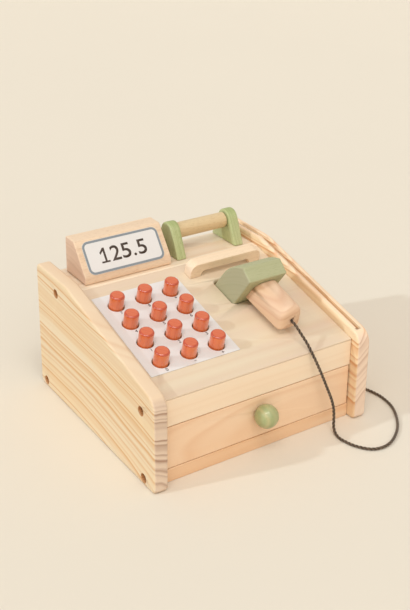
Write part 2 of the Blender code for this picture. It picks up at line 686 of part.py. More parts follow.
# ---------------------------------------------------------------- display

def display():
    """A block with a sloping face and a label, standing on the shelf."""
    front = SEAM_Y + DISPLAY_SETBACK
    face_top = front + DISPLAY_FACE_RUN
    back = face_top + DISPLAY_TOP_RUN
    low = SHELF_HEIGHT + GAP
    lip = SHELF_HEIGHT + DISPLAY_LIP
    top = SHELF_HEIGHT + DISPLAY_TOP
    middle = -INNER_X + DISPLAY_FIRST_X + DISPLAY_WIDTH / 2
    body = plate("display_block", [[(front, low), (back, low), (back, top), (face_top, top), (front, lip)]],
                 DISPLAY_WIDTH, PALE_PINE)
    ease(place(body, (middle, 0, 0), ACROSS), DISPLAY_EDGE)
    for side, side_name in ((-1, "left"), (1, "right")):
        edge = middle + side * DISPLAY_WIDTH / 2
        groove_low = (edge - DISPLAY_GROOVE_DEPTH, front + DISPLAY_GROOVE_STOP,
                      SHELF_HEIGHT - DISPLAY_GROOVE_HEIGHT)
        groove_high = (edge + DISPLAY_GROOVE_DEPTH, back - DISPLAY_GROOVE_STOP,
                       SHELF_HEIGHT + DISPLAY_GROOVE_HEIGHT)
        groove = block(f"display_groove_{side_name}", groove_low, groove_high, None, edge=0,
                       collection=CUTTERS)
        cut(body, as_cutter(groove))
    lean = math.atan2(top - lip, DISPLAY_FACE_RUN)
    face = frame_empty("display_face", (middle, front, lip), (lean, 0, 0))
    outline = rounded(box_corners(DISPLAY_LABEL_WIDTH, DISPLAY_LABEL_HEIGHT, DISPLAY_LABEL_RADIUS))
    label = plate("display_label", [outline], LABEL_THICKNESS, LABEL_PAPER)
    place(label, (0, DISPLAY_LABEL_LIFT, LABEL_GAP + LABEL_THICKNESS / 2), parent=face)


# ---------------------------------------------------------------- roll holder and paper guide

def bracket_outline():
    """Straight sides that run from the foot to a round top, drawn about the spindle's axis."""
    half_foot = BRACKET_FOOT / 2
    drop = SPINDLE_RISE - GAP
    lean = math.atan2(drop, half_foot) + math.asin(BRACKET_TOP_RADIUS / math.hypot(drop, half_foot))
    shoulder = half_foot - (drop + BRACKET_TOP_RADIUS) / math.tan(lean)
    return rounded([
        (-half_foot, -drop, 0), (half_foot, -drop, 0),
        (shoulder, BRACKET_TOP_RADIUS, BRACKET_TOP_RADIUS * 0.99),
        (-shoulder, BRACKET_TOP_RADIUS, BRACKET_TOP_RADIUS * 0.99),
    ])


def roll_holder():
    axis_y = SEAM_Y + BRACKET_SETBACK
    axis_z = SHELF_HEIGHT + SPINDLE_RISE
    right_x = INNER_X - BRACKET_FROM_RIGHT
    middle = right_x - BRACKET_SPACING / 2
    inner_span = BRACKET_SPACING - BRACKET_THICKNESS
    half = inner_span / 2 - SPINDLE_END_GAP
    tenon = half + SPINDLE_END_GAP + SPINDLE_TENON_LENGTH
    bore_radius = SPINDLE_TENON_RADIUS + SPINDLE_CLEARANCE
    bore = tenon + SPINDLE_END_GAP
    spindle = turned("roll_spindle", [
        (0, tenon), (SPINDLE_TENON_RADIUS, tenon), (SPINDLE_TENON_RADIUS, half),
        (SPINDLE_RADIUS - BOARD_EDGE, half), (SPINDLE_RADIUS, half - BOARD_EDGE),
        (SPINDLE_RADIUS, -half + BOARD_EDGE), (SPINDLE_RADIUS - BOARD_EDGE, -half),
        (SPINDLE_TENON_RADIUS, -half), (SPINDLE_TENON_RADIUS, -tenon), (0, -tenon),
    ], 24, TAN_WOOD)
    place(spindle, (middle, axis_y, axis_z), (0, math.pi / 2, 0))
    profile = [(0, bore), (bore_radius, bore), (bore_radius, -bore), (0, -bore)]
    cutter = turned("spindle_bore_cutter", profile, 16, None, CUTTERS)
    as_cutter(place(cutter, (middle, axis_y, axis_z), (0, math.pi / 2, 0)))
    for name, side in (("roll_bracket_left", -1), ("roll_bracket_right", 1)):
        bracket = plate(name, [bracket_outline()], BRACKET_THICKNESS, GREEN_STAIN)
        place(bracket, (middle + side * BRACKET_SPACING / 2, axis_y, axis_z), ACROSS)
        ease(bracket, BRACKET_EDGE)
        cut(bracket, cutter)


def paper_guide():
    """A low arch on the deck that a paper strip passes under."""
    half = GUIDE_WIDTH / 2
    inner = half - GUIDE_LEG
    gap_height = GUIDE_HEIGHT - GUIDE_BAR
    outline = rounded([
        (-half, GAP, 0), (-inner, GAP, 0), (-inner, gap_height, GUIDE_INNER_CORNER),
        (inner, gap_height, GUIDE_INNER_CORNER), (inner, GAP, 0), (half, GAP, 0),
        (half, GUIDE_HEIGHT, GUIDE_CORNER), (-half, GUIDE_HEIGHT, GUIDE_CORNER),
    ])
    guide = plate("paper_guide", [outline], GUIDE_DEPTH, GREY_WOOD)
    x = INNER_X - GUIDE_FROM_RIGHT - half
    place(guide, (x, -GUIDE_FROM_SHELF - GUIDE_DEPTH / 2, 0), (math.pi / 2, 0, 0), DECK_FRAME)
    ease(guide, BOARD_EDGE)


# ---------------------------------------------------------------- scanner

def head_front(height):
    """V of the head's leaning front face at a height above the deck."""
    return HEAD_FRONT_V - HEAD_LEAN * height


def scanner_head(parent):
    front_top = head_front(HEAD_FRONT_HEIGHT)
    crown = (front_top + HEAD_CROWN_RUN, HEAD_FRONT_HEIGHT + HEAD_CROWN_RISE)
    shoulder = (crown[0] + HEAD_SHOULDER_RUN, crown[1] - HEAD_SHOULDER_DROP)
    outline = rounded([
        (head_front(HEAD_BOTTOM), HEAD_BOTTOM, 0),
        (head_front(HEAD_BOTTOM) + HEAD_LENGTH, HEAD_BOTTOM, 0),
        (*shoulder, HEAD_BACK_RADIUS),
        (*crown, HEAD_EDGE),
        (front_top, HEAD_FRONT_HEIGHT, HEAD_EDGE),
    ], math.radians(9))
    width = SCANNER_HOLE_WIDTH - 2 * SCANNER_SIDE_CLEARANCE
    head = plate("scanner_head", [outline], width, GREEN_STAIN)
    place(head, (0, 0, 0), ACROSS, parent)
    ease(head, HEAD_EDGE)


def handle_section(width, inset, v_of_height):
    """A closed loop round the handle: a rounded rectangle, drawn in by the inset. v follows the height."""
    corners = box_corners(width - 2 * inset, HANDLE_HEIGHT - 2 * inset, 0)
    radii = (HANDLE_UNDER_RADIUS, HANDLE_UNDER_RADIUS, HANDLE_TOP_RADIUS, HANDLE_TOP_RADIUS)
    corners = [(u, w, max(radius - inset, MM)) for (u, w, _), radius in zip(corners, radii)]
    middle = HANDLE_LOW + HANDLE_HEIGHT / 2
    return [(u, v_of_height(w + middle), w + middle) for u, w in rounded(corners, math.radians(18))]


def scanner_handle(parent):
    """A loft from a slanted root against the head to a rounded free end."""
    sections = [handle_section(HANDLE_WIDTH, 0, lambda height: head_front(height) - GAP)]
    straight_end = HANDLE_END_V + HANDLE_END_RADIUS
    sections.append(handle_section(HANDLE_END_WIDTH, 0, lambda height: straight_end))
    steps = 4
    for step in range(1, steps + 1):
        turn = math.pi / 2 * step / steps
        v = straight_end - HANDLE_END_RADIUS * math.sin(turn)
        inset = HANDLE_END_RADIUS * (1 - math.cos(turn))
        sections.append(handle_section(HANDLE_END_WIDTH, inset, lambda height, v=v: v))
    shape = bmesh.new()
    rings = [[shape.verts.new(point) for point in section] for section in sections]
    for ring, following in zip(rings, rings[1:]):
        for index in range(len(ring)):
            shape.faces.new((ring[index - 1], ring[index], following[index], following[index - 1]))
    shape.faces.new(rings[0])
    shape.faces.new(rings[-1])
    bmesh.ops.recalc_face_normals(shape, faces=shape.faces)
    mesh = bpy.data.meshes.new("scanner_handle")
    shape.to_mesh(mesh)
    shape.free()
    handle = add_object("scanner_handle", mesh, PINK_WOOD, PARTS)
    place(handle, (HANDLE_OFFSET, 0, 0), parent=parent)
    hole = turned("handle_cord_cutter", [
        (0, CORD_HOLE_DEPTH), (CORD_HOLE_RADIUS, CORD_HOLE_DEPTH),
        (CORD_HOLE_RADIUS, -CORD_HOLE_DEPTH), (0, -CORD_HOLE_DEPTH),
    ], 12, None, CUTTERS)
    place(hole, (HANDLE_OFFSET, HANDLE_END_V, HANDLE_LOW + CORD_HOLE_RISE), (math.pi / 2, 0, 0), parent)
    cut(handle, as_cutter(hole))


def scanner_rest():
    """The board under the deck's hole that the head stands on."""
    half = SCANNER_HOLE_WIDTH / 2 + REST_MARGIN
    front = SCANNER_HOLE_V - SCANNER_HOLE_LENGTH - REST_MARGIN
    board = block("scanner_rest", (SCANNER_X - half, front, FLANGE_TOP - REST_THICKNESS),
                  (SCANNER_X + half, SCANNER_HOLE_V + REST_MARGIN, FLANGE_TOP), PLYWOOD, edge=0)
    board.parent = DECK_FRAME


def scanner():
    scanner_rest()
    origin = frame_empty("scanner", (SCANNER_X, 0, 0), parent=DECK_FRAME)
    scanner_head(origin)
    scanner_handle(origin)


# ---------------------------------------------------------------- cord

def on_deck(x, v, height):
    """A point of the deck's frame in the part's frame."""
    return Vector((x, SEAM_Y + v * math.cos(SLOPE) - height * math.sin(SLOPE),
                   SHELF_HEIGHT + v * math.sin(SLOPE) + height * math.cos(SLOPE)))


def smooth_route(points, spacing):
    """Evenly spaced points on a smooth curve that passes through the given ones."""
    points = [Vector(point) for point in points]
    points = [2 * points[0] - points[1], *points, 2 * points[-1] - points[-2]]
    dense = []
    pieces = 24
    for before, start, end, after in zip(points, points[1:], points[2:], points[3:]):
        for piece in range(pieces):
            t = piece / pieces
            square = 2 * before - 5 * start + 4 * end - after
            cube = 3 * start - before - 3 * end + after
            dense.append(0.5 * (2 * start + (end - before) * t + square * t ** 2 + cube * t ** 3))
    dense.append(points[-2])
    lengths = [0.0]
    for start, end in zip(dense, dense[1:]):
        lengths.append(lengths[-1] + (end - start).length)
    count = max(2, round(lengths[-1] / spacing))
    even, index = [], 0
    for step in range(count + 1):
        wanted = lengths[-1] * step / count
        while index < len(dense) - 2 and lengths[index + 1] < wanted:
            index += 1
        share = (wanted - lengths[index]) / (lengths[index + 1] - lengths[index])
        even.append(dense[index].lerp(dense[index + 1], share))
    return even


def cord(name, points):
    """A round cord along the points, with flat filled ends."""
    curve = bpy.data.curves.new(name, "CURVE")
    curve.dimensions = "3D"
    curve.bevel_depth = CORD_RADIUS
    curve.bevel_resolution = 2
    curve.use_fill_caps = True
    spline = curve.splines.new("POLY")
    spline.points.add(len(points) - 1)
    for point, position in zip(spline.points, points):
        point.co = (*position, 1)
    curve.materials.append(BROWN_CORD)
    obj = bpy.data.objects.new(name, curve)
    PARTS.objects.link(obj)


def scanner_cord():
    """Two lengths that meet face to face at the deck's edge: the upper one lifts with the scanner."""
    exit_v = HANDLE_END_V + CORD_SEATED
    start = on_deck(SCANNER_X + HANDLE_OFFSET, exit_v, HANDLE_LOW + CORD_HOLE_RISE)
    mouth = on_deck(SCANNER_X + HANDLE_OFFSET, HANDLE_END_V, HANDLE_LOW + CORD_HOLE_RISE)
    anchor_y = PANEL_FRONT_Y + CORD_ANCHOR_FROM_FRONT
    anchor = Vector((WIDTH / 2, anchor_y, CORD_ANCHOR_HEIGHT))
    seated = anchor - Vector((CORD_SEATED, 0, 0))
    laid = [Vector((WIDTH / 2 + x, PANEL_FRONT_Y + y, z)) for x, y, z in CORD_ROUTE]
    route = smooth_route([start, mouth, *laid, anchor, seated], CORD_SPACING)
    split = min(range(len(route)), key=lambda index: (route[index] - laid[CORD_SPLIT]).length)
    along = (route[split + 1] - route[split - 1]).normalized()
    upper_end = [route[split] - along * (CORD_RADIUS + GAP / 2), route[split] - along * GAP / 2]
    lower_start = [route[split] + along * GAP / 2, route[split] + along * (CORD_RADIUS + GAP / 2)]
    cord("scanner_cord_upper", [*route[:split], *upper_end])
    cord("scanner_cord_lower", [*lower_start, *route[split + 1:]])


for leftover in list(bpy.data.objects):
    bpy.data.objects.remove(leftover, do_unlink=True)

PARTS = new_collection("toy_cash_register")
CUTTERS = new_collection("cutters")

YELLOW_PINE = material("yellow_pine", (0.82, 0.62, 0.38), 0.55)
PALE_PINE = material("pale_pine", (0.84, 0.68, 0.49), 0.55)
ORANGE_PINE = material("orange_pine", (0.80, 0.54, 0.30), 0.55)
PINK_WOOD = material("pink_wood", (0.78, 0.55, 0.40), 0.55)
TAN_WOOD = material("tan_wood", (0.70, 0.52, 0.33), 0.55)
GREY_WOOD = material("grey_wood", (0.66, 0.55, 0.42), 0.6)
PLYWOOD = material("plywood", (0.76, 0.60, 0.42), 0.65)
GREEN_STAIN = material("green_stain", (0.30, 0.40, 0.20), 0.6)
RED_STAIN = material("red_stain", (0.62, 0.10, 0.04), 0.3)
LABEL_PAPER = material("label_paper", (0.72, 0.70, 0.72), 0.5)
STEEL = material("zinc_plated_steel", (0.60, 0.58, 0.55), 0.35, 1.0)
BROWN_CORD = material("brown_cord", (0.06, 0.045, 0.04), 0.8)

DECK_FRAME = frame_empty("deck_frame", (0, SEAM_Y, SHELF_HEIGHT), (SLOPE, 0, 0))

case()
drawer()
keypad()
display()
roll_holder()
paper_guide()
scanner()
scanner_cord()
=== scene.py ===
"""The toy cash register as a detailed scene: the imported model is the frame, and materials, print
and fine pieces are added to it. Units are metres, in the model's own frame: X runs across, the
drawer faces -Y and Z is up."""

import math

import bmesh
import bpy
from mathutils import Matrix, Vector


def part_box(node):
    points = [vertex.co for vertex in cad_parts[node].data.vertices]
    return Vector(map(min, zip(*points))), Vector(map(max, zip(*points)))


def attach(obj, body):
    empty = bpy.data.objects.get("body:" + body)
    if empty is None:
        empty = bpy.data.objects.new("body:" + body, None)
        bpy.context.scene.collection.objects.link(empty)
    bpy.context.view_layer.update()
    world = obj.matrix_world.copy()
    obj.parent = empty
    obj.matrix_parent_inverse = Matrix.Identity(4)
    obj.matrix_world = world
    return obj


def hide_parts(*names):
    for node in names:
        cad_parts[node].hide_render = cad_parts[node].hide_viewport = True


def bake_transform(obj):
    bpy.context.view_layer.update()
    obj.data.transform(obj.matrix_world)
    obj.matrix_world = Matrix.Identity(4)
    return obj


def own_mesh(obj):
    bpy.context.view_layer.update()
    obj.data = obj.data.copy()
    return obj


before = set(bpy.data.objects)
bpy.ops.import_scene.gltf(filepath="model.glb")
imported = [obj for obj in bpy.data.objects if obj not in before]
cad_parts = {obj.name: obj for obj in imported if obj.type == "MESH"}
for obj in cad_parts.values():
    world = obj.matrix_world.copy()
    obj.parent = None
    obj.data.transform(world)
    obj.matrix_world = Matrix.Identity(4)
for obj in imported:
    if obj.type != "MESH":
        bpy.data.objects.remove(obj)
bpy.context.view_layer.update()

MM = 0.001

# Camera; angles in radians
CAMERA_PLACE = (-0.56065, -0.85624, 0.63278)
CAMERA_YAW = 0.58088             # from +Y towards +X
CAMERA_PITCH = 0.36839           # down
CAMERA_ROLL = 0.0114
CAMERA_SENSOR = 36.0
CAMERA_LENS = 62.85
CAMERA_SHIFT_Y = -0.1721
CAMERA_CLIP = (0.05, 20)

# Lights, each given by the direction that its light travels in
SUN_TRAVEL = (0.843, -0.179, -0.5075)
SUN_STRENGTH = 0.95
SUN_COLOUR = (0.80, 0.95, 1.0)
SUN_ANGLE = math.radians(1.8)
FILL_TRAVEL = (0.40, 0.75, -0.53)
FILL_STRENGTH = 1.08
FILL_COLOUR = (1.0, 0.955, 0.885)
FILL_ANGLE = math.radians(75)
TOP_TRAVELS = ((0.06, 0.44, -0.89), (0.38, 0.33, -0.86))
TOP_STRENGTH = 0.42
TOP_ANGLE = math.radians(17)
SKY_COLOUR = (1.0, 0.965, 0.91)
SKY_STRENGTH = 0.58

# Floor
FLOOR_COLOUR = (0.78, 0.71, 0.61)
FLOOR_RADIUS = 4.6
FLOOR_CURVE = 0.9                # radius of the bend between the floor and the wall
FLOOR_DROP = 0.1 * MM            # below the object, so that no faces coincide
WALL_HEIGHT = 1.7

# Sizes that the model's boxes don't give, as in the CAD
SLOPE = math.atan2(43, 172)      # of the deck
SHELF_SEAM = Vector((0, 0.0625, 0.137))
BUTTON_RADIUS = 7.9 * MM
BUTTON_HEIGHT = 16 * MM
BUTTON_EDGE = 2.5 * MM           # radius of the rounded rim
FLANGE_RADIUS = 11.5 * MM
FLANGE_TOP = -10.3 * MM
FLANGE_BOTTOM = -12.8 * MM
FLANGE_EDGE = 0.4 * MM
STEM_RADIUS = 3 * MM
STEM_END = -28.8 * MM
SPRING_TOP = -13.1 * MM
SPRING_FLOOR = -21.8 * MM
SPRING_RADIUS = 3.9 * MM
SPRING_WIRE = 0.36 * MM
SPRING_TURNS = 6
SPRING_STEPS = 14                # for each turn
DISPLAY_LEAN = math.atan2(33.5, 26)
LABEL_RADIUS = 7.5 * MM
LABEL_THICKNESS = 0.35 * MM
BORDER_INSET = 0.25 * MM
BORDER_WIDTH = 2.8 * MM
PRINT_THICKNESS = 0.04 * MM
PRINT_LIFT = 0.03 * MM
AMOUNT_HEIGHT = 17 * MM
AMOUNT_START = -28.9 * MM        # from the label's middle
AMOUNT_GLYPHS = (                # each with its left and right edge in millimetres
    ("1", 0.0, 10.0), ("2", 12.8, 24.2), ("5", 26.0, 37.0), (".", 39.8, 43.0), ("5", 45.8, 56.8),
)
AMOUNT_STROKE = 2.4 * MM
KEY_MARKS = ("7", "8", "9", "4", "5", "6", "1", "2", "3", "0", "−", "+")
KEY_TEXT_HEIGHT = 4 * MM
KEY_MARK_SIZES = {"−": (3 * MM, 0.5 * MM), "+": (None, 3 * MM)}    # width and height
KEY_TEXT_SHIFT = 0.4 * MM        # right of the button's middle
KEY_TEXT_DROP = 12 * MM          # down the slope from the button's middle
KEYPAD_TOP = 0.5 * MM            # of its label, over the deck

CASE_HALF_WIDTH = 132 * MM
COUNTERBORE_RADIUS = 5.3 * MM
COUNTERBORE_DEPTH = 6 * MM
LINING_SIDES = 28
LINING_STEPS = 4                 # along the bore
LINING_GAP = 0.05 * MM
LINING_THICKNESS = 0.25 * MM

# Cord, with the CAD's route
CORD_RADIUS = 1.6 * MM
CORD_SIDES = 12
CORD_STEP = 0.7 * MM             # between the points along it
STRANDS = 3
STRAND_GROOVE = 0.47             # the bottom of the grooves, as a share of the cord's radius
STRAND_DEPTH = 0.59              # how far the strands stand out of them
STRAND_TURN = 13 * MM            # the length of one full turn
CORD_SPLIT = 5                   # the two lengths meet at this point
CORD_DRAWER_END = (0.0514, -0.1181, 0.0824)    # from here on the cord goes with the drawer
CORD_ROUTE = (
    (0.0558, -0.0773, 0.1213), (0.0557, -0.0841, 0.1196), (0.0565, -0.0893, 0.1168),
    (0.0584, -0.0965, 0.1098), (0.0600, -0.1050, 0.1022), (0.0616, -0.1130, 0.0926),
    (0.0655, -0.1170, 0.0811), (0.0712, -0.1190, 0.0670), (0.0770, -0.1203, 0.0524),
    (0.0833, -0.1210, 0.0372), (0.0866, -0.1217, 0.0250), (0.0868, -0.1230, 0.0140),
    (0.0842, -0.1268, 0.0048), (0.0805, -0.1370, 0.0017), (0.0807, -0.1490, 0.0017),
    (0.0850, -0.1624, 0.0017), (0.0955, -0.1750, 0.0017), (0.1100, -0.1783, 0.0017),
    (0.1255, -0.1735, 0.0017), (0.1440, -0.1602, 0.0017), (0.1585, -0.1430, 0.0017),
    (0.1684, -0.1245, 0.0017), (0.1718, -0.1060, 0.0017), (0.1710, -0.0941, 0.0017),
    (0.1688, -0.0849, 0.0017), (0.1640, -0.0680, 0.0018), (0.1575, -0.0520, 0.0040),
    (0.1490, -0.0420, 0.0088), (0.1400, -0.0383, 0.0122), (0.1320, -0.0375, 0.0130),
    (0.1250, -0.0375, 0.0130),
)


# ---------------------------------------------------------------- helpers

def deck_matrix():
    """The deck's own frame: X across, Y up the slope from the shelf's seam, Z square to it."""
    return Matrix.Translation(SHELF_SEAM) @ Matrix.Rotation(SLOPE, 4, "X")


def add_object(name, data, body=None, matrix=None):
    obj = bpy.data.objects.new(name, data)
    bpy.context.scene.collection.objects.link(obj)
    if matrix is not None:
        obj.matrix_world = matrix
    if body is not None:
        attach(obj, body)
    return obj


def mesh_from(name, points, faces, paint, smooth=True):
    mesh = bpy.data.meshes.new(name)
    mesh.from_pydata([tuple(point) for point in points], [], faces)
    mesh.materials.append(paint)
    made = bmesh.new()
    made.from_mesh(mesh)
    bmesh.ops.recalc_face_normals(made, faces=made.faces)
    made.to_mesh(mesh)
    made.free()
    if smooth:
        mesh.shade_smooth()
    return mesh


def turned(name, profile, steps, paint):
    """A closed solid turned round Z. The profile is (radius, height), from radius 0 to radius 0."""
    points, faces = [(0, 0, profile[0][1])], []
    for radius, height in profile[1:-1]:
        for step in range(steps):
            angle = 2 * math.pi * step / steps
            points.append((radius * math.cos(angle), radius * math.sin(angle), height))
    points.append((0, 0, profile[-1][1]))
    last = len(points) - 1
    rings = len(profile) - 2
    for step in range(steps):
        after = (step + 1) % steps
        faces.append((0, 1 + step, 1 + after))
        for ring in range(rings - 1):
            low, high = 1 + ring * steps, 1 + (ring + 1) * steps
            faces.append((low + step, high + step, high + after, low + after))
        top = 1 + (rings - 1) * steps
        faces.append((top + after, top + step, last))
    return mesh_from(name, points, faces, paint)


def quarter(radius_at, height_at, radius, start, end, steps):
    """Points of an arc in the (radius, height) plane, with angles in degrees."""
    angles = [math.radians(start + (end - start) * step / steps) for step in range(steps + 1)]
    return [(radius_at + radius * math.cos(angle), height_at + radius * math.sin(angle))
            for angle in angles]


def smooth_route(points, spacing):
    """Evenly spaced points on a smooth curve that passes through the given ones."""
    points = [Vector(point) for point in points]
    points = [2 * points[0] - points[1], *points, 2 * points[-1] - points[-2]]
    dense, pieces = [], 24
    for before, start, end, after in zip(points, points[1:], points[2:], points[3:]):
        for piece in range(pieces):
            t = piece / pieces
            square = 2 * before - 5 * start + 4 * end - after
            cube = 3 * start - before - 3 * end + after
            dense.append(0.5 * (2 * start + (end - before) * t + square * t ** 2 + cube * t ** 3))
    dense.append(points[-2])
    lengths = [0.0]
    for start, end in zip(dense, dense[1:]):
        lengths.append(lengths[-1] + (end - start).length)
    count = max(2, round(lengths[-1] / spacing))
    even, index = [], 0
    for step in range(count + 1):
        wanted = lengths[-1] * step / count
        while index < len(dense) - 2 and lengths[index + 1] < wanted:
            index += 1
        share = (wanted - lengths[index]) / (lengths[index + 1] - lengths[index])
        even.append(dense[index].lerp(dense[index + 1], share))
    return even


def swept(name, line, radius_at, sides, paint):
    """A tube along the line. radius_at gives its surface's distance at an angle and a length."""
    points, faces = [], []
    along = (line[1] - line[0]).normalized()
    side = along.orthogonal().normalized()
    length = 0.0
    for index, point in enumerate(line):
        after, before = line[min(index + 1, len(line) - 1)], line[max(index - 1, 0)]
        turned_along = (after - before).normalized()
        side.rotate(along.rotation_difference(turned_along))
        along = turned_along
        other = along.cross(side)
        if index:
            length += (point - line[index - 1]).length
        for step in range(sides):
            angle = 2 * math.pi * step / sides
            reach = radius_at(angle, length)
            points.append(point + reach * (math.cos(angle) * side + math.sin(angle) * other))
        if index:
            low, high = (index - 1) * sides, index * sides
            for step in range(sides):
                near = (step + 1) % sides
                faces.append((low + step, low + near, high + near, high + step))
    faces.append(tuple(range(sides)))
    faces.append(tuple((len(line) - 1) * sides + step for step in range(sides)))
    return mesh_from(name, points, faces, paint)


# ---------------------------------------------------------------- camera

def camera():
    yaw, pitch, roll = CAMERA_YAW, CAMERA_PITCH, CAMERA_ROLL
    level = math.cos(pitch)
    forward = Vector((math.sin(yaw) * level, math.cos(yaw) * level, -math.sin(pitch)))
    right = Vector((math.cos(yaw), -math.sin(yaw), 0))
    up = right.cross(forward)
    level_right, level_up = right.copy(), up.copy()
    right = math.cos(roll) * level_right + math.sin(roll) * level_up
    up = math.cos(roll) * level_up - math.sin(roll) * level_right
    data = bpy.data.cameras.new("camera")
    data.sensor_width = CAMERA_SENSOR
    data.lens = CAMERA_LENS
    data.shift_y = CAMERA_SHIFT_Y
    data.clip_start, data.clip_end = CAMERA_CLIP
    obj = bpy.data.objects.new("camera", data)
    bpy.context.scene.collection.objects.link(obj)
    turn = Matrix((right, up, -forward)).transposed().to_4x4()
    obj.matrix_world = Matrix.Translation(CAMERA_PLACE) @ turn
    bpy.context.scene.camera = obj


# ---------------------------------------------------------------- materials

class Paint:
    """A material that is built up from nodes in the object's own coordinates."""

    def __init__(self, name, roughness=0.5):
        self.material = bpy.data.materials.new(name)
        self.material.use_nodes = True
        self.tree = self.material.node_tree
        self.surface = self.tree.nodes["Principled BSDF"]
        self.surface.inputs["Roughness"].default_value = roughness
        self.coordinates = self.tree.nodes.new("ShaderNodeTexCoord")
        self.place = self.coordinates.outputs["Object"]

    def node(self, kind, inputs, **settings):
        made = self.tree.nodes.new(kind)
        for key, value in settings.items():
            setattr(made, key, value)
        for key, value in inputs.items():
            if isinstance(value, bpy.types.NodeSocket):
                self.tree.links.new(value, made.inputs[key])
            else:
                made.inputs[key].default_value = value
        return made

    def maths(self, operation, first, second=0.0):
        return self.node("ShaderNodeMath", {0: first, 1: second}, operation=operation).outputs[0]

    def vector(self, operation, first, second=(0, 0, 0)):
        made = self.node("ShaderNodeVectorMath", {0: first, 1: second}, operation=operation)
        return made.outputs["Value" if operation in ("LENGTH", "DOT_PRODUCT") else "Vector"]

    def noise(self, place, scale, detail=2.0, roughness=0.5):
        return self.node("ShaderNodeTexNoise", {"Vector": place, "Scale": scale, "Detail": detail,
                                                "Roughness": roughness})

    def number_noise(self, value, scale, detail):
        return self.node("ShaderNodeTexNoise", {"W": value, "Scale": scale, "Detail": detail},
                         noise_dimensions="1D").outputs[0]

    def wave(self, value, low, high):
        """0 up to low, 1 from high on, and a straight line between."""
        inputs = {"Value": value, "From Min": low, "From Max": high}
        return self.node("ShaderNodeMapRange", inputs).outputs[0]

    def share(self, value, low, high, most):
        """0 up to low, the given most from high on, and a straight line between."""
        return self.maths("MULTIPLY", self.wave(value, low, high), most)

    def facing(self, direction):
        """How squarely the surface faces along the direction, either way: 0 to 1."""
        normal = self.coordinates.outputs["Normal"]
        return self.maths("ABSOLUTE", self.vector("DOT_PRODUCT", normal, direction))

    def ramp(self, value, stops):
        made = self.node("ShaderNodeValToRGB", {"Fac": value})
        elements = made.color_ramp.elements
        while len(elements) < len(stops):
            elements.new(1.0)
        for element, (position, level) in zip(elements, stops):
            element.position = position
            element.color = (level, level, level, 1)
        return made.outputs["Color"]

    def mix(self, share, first, second):
        made = self.node("ShaderNodeMix", {}, data_type="RGBA")
        for index, value in ((0, share), (6, first), (7, second)):
            if isinstance(value, bpy.types.NodeSocket):
                self.tree.links.new(value, made.inputs[index])
            elif index == 0:
                made.inputs[0].default_value = value
            else:
                made.inputs[index].default_value = (*value, 1.0)
        return made.outputs[2]

    def colour(self, value):
        self.tree.links.new(value, self.surface.inputs["Base Color"])

    def rough(self, value):
        self.tree.links.new(value, self.surface.inputs["Roughness"])

    def bump(self, height, distance, strength=1.0):
        inputs = {"Height": height, "Distance": distance, "Strength": strength}
        made = self.node("ShaderNodeBump", inputs)
        self.tree.links.new(made.outputs[0], self.surface.inputs["Normal"])


def srgb(red, green, blue):
    """A colour given as 0 to 255 on a screen, in linear light."""
    parts = (part / 255 for part in (red, green, blue))
    return tuple(part / 12.92 if part <= 0.04045 else ((part + 0.055) / 1.055) ** 2.4
                 for part in parts)


